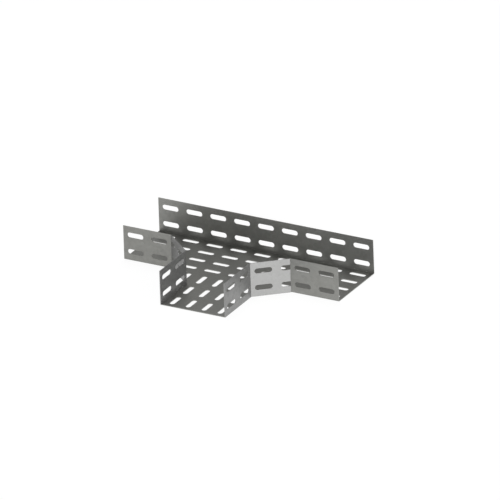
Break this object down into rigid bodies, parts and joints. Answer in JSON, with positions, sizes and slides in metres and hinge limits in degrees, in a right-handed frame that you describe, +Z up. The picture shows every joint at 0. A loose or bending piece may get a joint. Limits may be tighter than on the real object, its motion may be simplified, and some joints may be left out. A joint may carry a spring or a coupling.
{
  "type": "cable tray tee",
  "caption": "Perforated steel cable tray tee: a straight run with a back wall and a branch that leaves its near side between two slanted walls.",
  "frame": {"origin": "on the underside of the floor, where the centre lines of the run and the branch cross", "axes": "+X along the run, the branch points to -Y, +Z up out of the tray"},
  "size_m": [0.3376, 0.2135, 0.051],
  "materials": {
    "galvanised_sheet": "bare galvanised steel sheet, dull grey with a fine grain"
  },
  "bodies": {
    "root": {"tee_body": "galvanised_sheet", "right_branch_side": "galvanised_sheet", "left_branch_side": "galvanised_sheet"}
  },
  "joints": []
}
